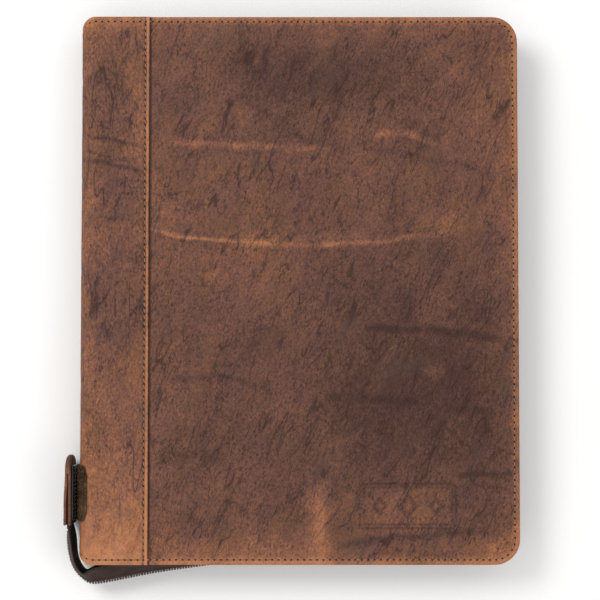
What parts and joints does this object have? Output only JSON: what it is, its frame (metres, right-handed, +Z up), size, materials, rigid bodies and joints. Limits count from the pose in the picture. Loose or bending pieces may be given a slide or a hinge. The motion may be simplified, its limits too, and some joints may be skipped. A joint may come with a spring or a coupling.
{
  "type": "zip-around portfolio case",
  "caption": "Rigid zip-around leather document case with a folding spine, a ring mechanism and pockets inside, and a zip tail ending in a touch-and-close tab.",
  "frame": {"origin": "centre of the back cover's outer leather face, with the closed case lying on it", "axes": "+X from the spine to the open side, +Y from the bottom edge to the top edge, +Z up through the thickness to the front cover"},
  "size_m": [0.2854, 0.3596, 0.0334],
  "materials": {
    "panel_leather": "oiled pull-up leather, satin, with dark creases and light rubs",
    "spine_leather": "oiled pull-up leather, a little lighter, waxed folded edges",
    "lining": "dark brown woven lining",
    "board": "grey-brown stiffening board",
    "thread": "waxed brown twisted thread",
    "zip_tape": "dark brown herringbone tape",
    "zip_teeth": "dark brown moulded teeth",
    "zip_metal": "dark antique brass",
    "ring_metal": "nickel-plated steel",
    "loop_pile": "matted loop pile",
    "hook_tape": "moulded hook tape",
    "elastic": "ribbed elastic webbing"
  },
  "bodies": {
    "back_cover": {"back_panel_leather": "panel_leather", "back_spine_strip": "spine_leather", "back_board": "board", "back_lining": "lining", "back_edge_thread": "thread", "back_seam_thread": "thread", "zip_tape_back": "zip_tape", "zip_teeth_back": "zip_teeth", "zip_top_stop_back": "zip_metal", "back_pad_pocket": "lining", "ring_base": "ring_metal", "ring_rivets": "ring_metal"},
    "spine": {"spine_leather": "spine_leather", "spine_board": "board", "spine_lining": "lining", "loop_pad": "loop_pile", "zip_tail_tape": "zip_tape", "zip_tail_teeth": "zip_teeth", "zip_bottom_stop": "zip_metal"},
    "front_cover": {"front_panel_leather": "panel_leather", "front_spine_strip": "spine_leather", "front_board": "board", "front_lining": "lining", "front_edge_thread": "thread", "front_seam_thread": "thread", "zip_tape_front": "zip_tape", "zip_teeth_front": "zip_teeth", "zip_top_stop_front": "zip_metal", "front_document_pocket": "lining", "front_card_pockets": "lining", "pen_loop": "elastic"},
    "end_tab": {"tab_leather": "spine_leather", "hook_pad": "hook_tape", "tab_thread": "thread", "zip_tail_end": "zip_tape"},
    "zip_slider": {"zip_slider": "zip_metal"},
    "zip_pull": {"zip_pull": "zip_metal"},
    "ring_left": {"ring_blade_left": "ring_metal", "ring_halves_left": "ring_metal"},
    "ring_right": {"ring_blade_right": "ring_metal", "ring_halves_right": "ring_metal"},
    "lever_top": {"ring_lever_top": "ring_metal"},
    "lever_bottom": {"ring_lever_bottom": "ring_metal"}
  },
  "joints": [
    {"name": "back_crease", "type": "hinge", "parent": "back_cover", "child": "spine", "pos_m": [-0.13585, 0, 0.00155], "axis": [0, -1, 0], "range_deg": [0, 90]},
    {"name": "front_crease", "type": "hinge", "parent": "spine", "child": "front_cover", "pos_m": [-0.13585, 0, 0.02945], "axis": [0, -1, 0], "range_deg": [0, 90]},
    {"name": "tab_fold", "type": "hinge", "parent": "spine", "child": "end_tab", "pos_m": [-0.1476, -0.149, 0.0155], "axis": [0, 0, 1], "range_deg": [0, 110]},
    {"name": "slider_run", "type": "slide", "parent": "back_cover", "child": "zip_slider", "axis": [1, 0, 0], "range_m": [0, 0.205], "deforming": ["zip_teeth_back", "zip_teeth_front"]},
    {"name": "pull_swing", "type": "hinge", "parent": "zip_slider", "child": "zip_pull", "pos_m": [-0.0985, 0.1712, 0.0155], "axis": [0, 0, -1], "range_deg": [0, 180]},
    {"name": "ring_left_swing", "type": "hinge", "parent": "back_cover", "child": "ring_left", "pos_m": [-0.1222, 0, 0.0052], "axis": [0, -1, 0], "range_deg": [0, 14], "stiffness_Nm_per_rad": 0.3},
    {"name": "ring_right_swing", "type": "hinge", "parent": "back_cover", "child": "ring_right", "pos_m": [-0.1038, 0, 0.0052], "axis": [0, -1, 0], "range_deg": [-14, 0]},
    {"name": "lever_top_press", "type": "hinge", "parent": "back_cover", "child": "lever_top", "pos_m": [-0.113, 0.1335, 0.0074], "axis": [1, 0, 0], "range_deg": [-30, 0]},
    {"name": "lever_bottom_press", "type": "hinge", "parent": "back_cover", "child": "lever_bottom", "pos_m": [-0.113, -0.1335, 0.0074], "axis": [1, 0, 0], "range_deg": [0, 30]}
  ],
  "couplings": [
    {"joint": "ring_right_swing", "follows": "ring_left_swing", "ratio": -1},
    {"joint": "lever_top_press", "follows": "ring_left_swing", "ratio": -2.1429},
    {"joint": "lever_bottom_press", "follows": "ring_left_swing", "ratio": 2.1429}
  ]
}
